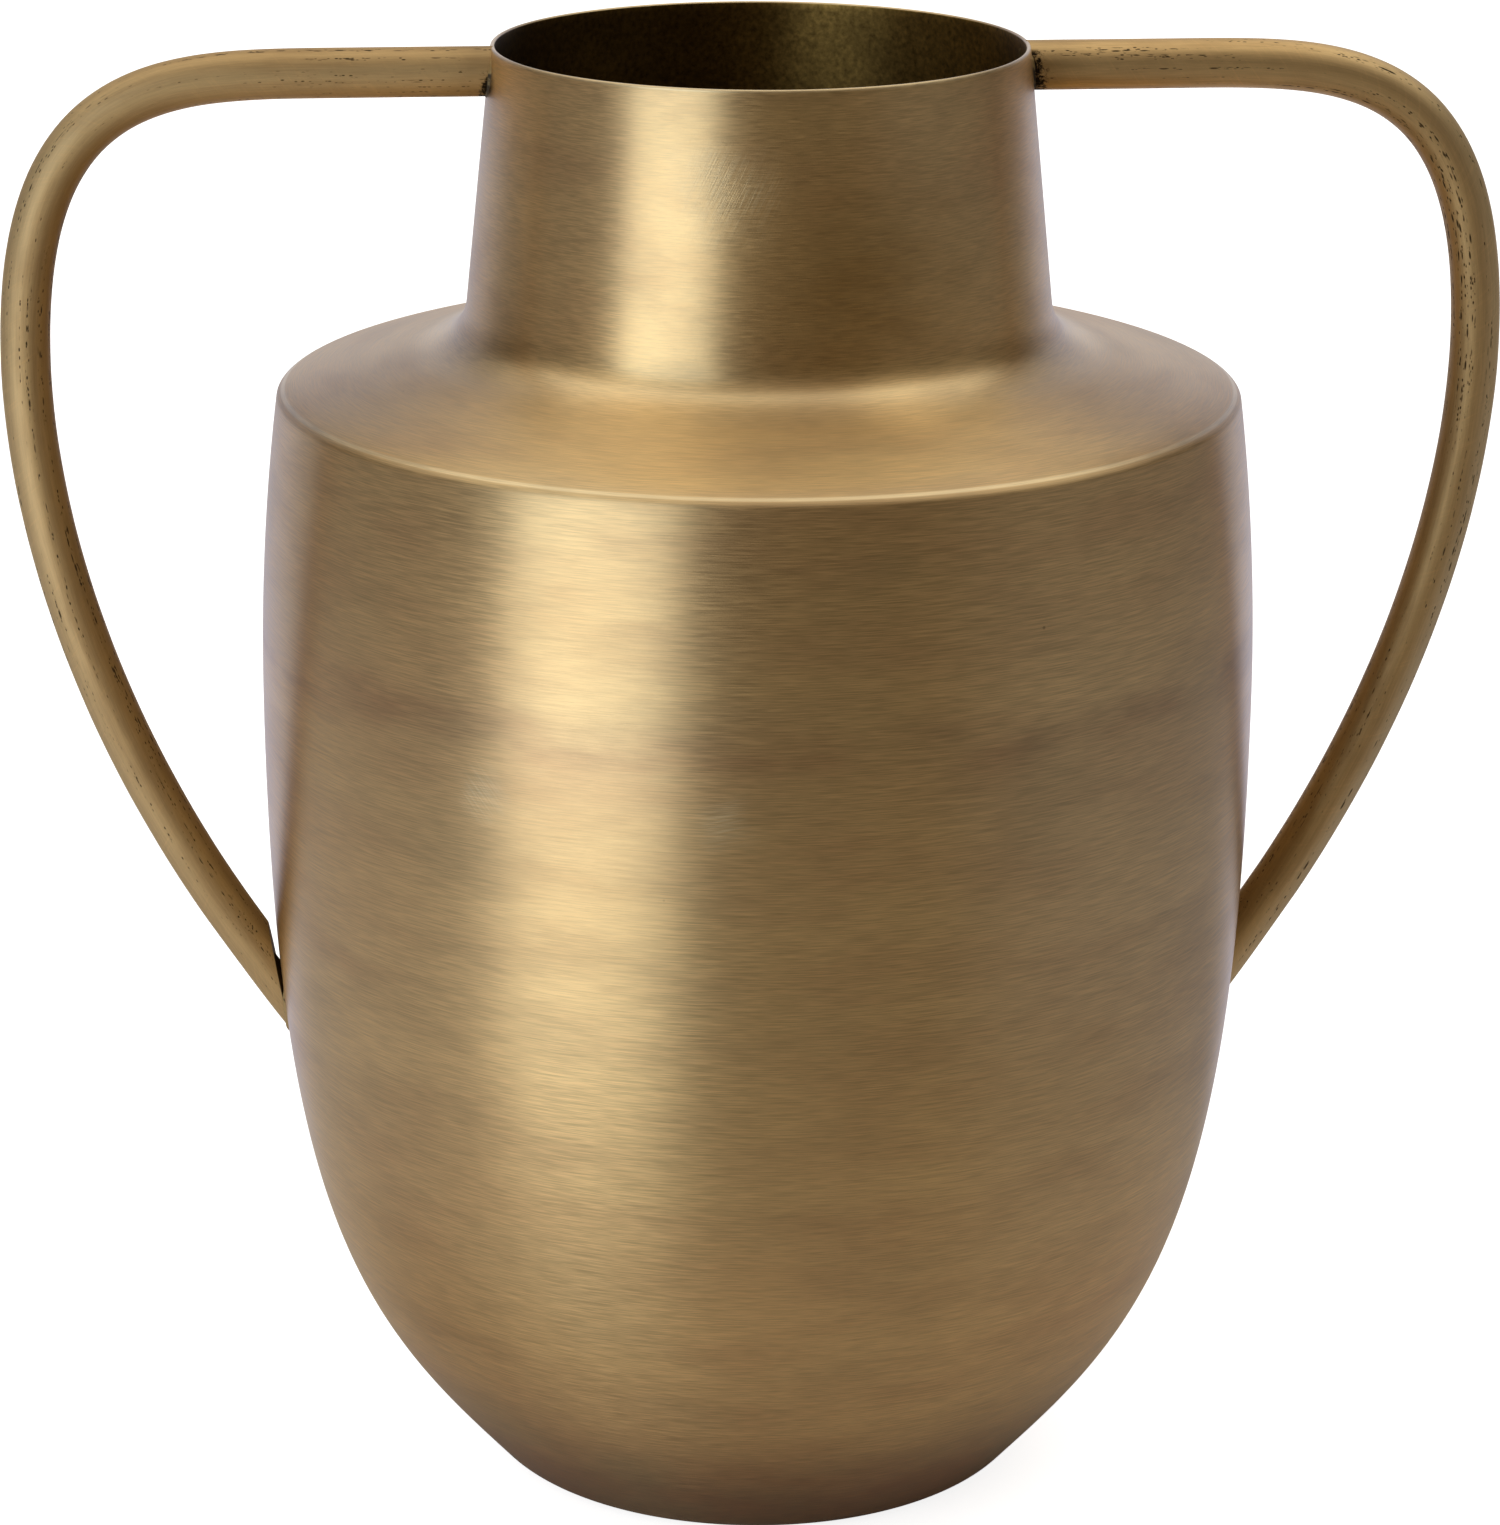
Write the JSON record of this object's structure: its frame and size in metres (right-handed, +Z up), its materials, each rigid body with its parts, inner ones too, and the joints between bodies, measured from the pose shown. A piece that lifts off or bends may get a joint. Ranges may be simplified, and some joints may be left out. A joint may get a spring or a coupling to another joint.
{
  "type": "vase",
  "caption": "Open-mouthed round vase with a tapered neck, sloping shoulder and bent tube handles that join level with the rim, in brushed antique brass.",
  "frame": {"origin": "middle of the foot, on the surface that the vase stands on", "axes": "+Z up the vessel's axis, +X along the handles, so X is the longest extent and Y the shortest"},
  "size_m": [0.306, 0.204, 0.3],
  "materials": {
    "spun_brass": "spun sheet, brushed round the axis, antiqued brown in patches",
    "handle_brass": "drawn tube, brushed, with small dark pits",
    "braze": "brazing filler, dressed by hand, dark flux in the corners"
  },
  "bodies": {
    "root": {"body_shell": "spun_brass", "neck_shell": "spun_brass", "shoulder_seam_braze": "braze", "handle_left": "handle_brass", "handle_right": "handle_brass", "braze_upper_left": "braze", "braze_upper_right": "braze", "braze_lower_left": "braze", "braze_lower_right": "braze"}
  },
  "joints": []
}
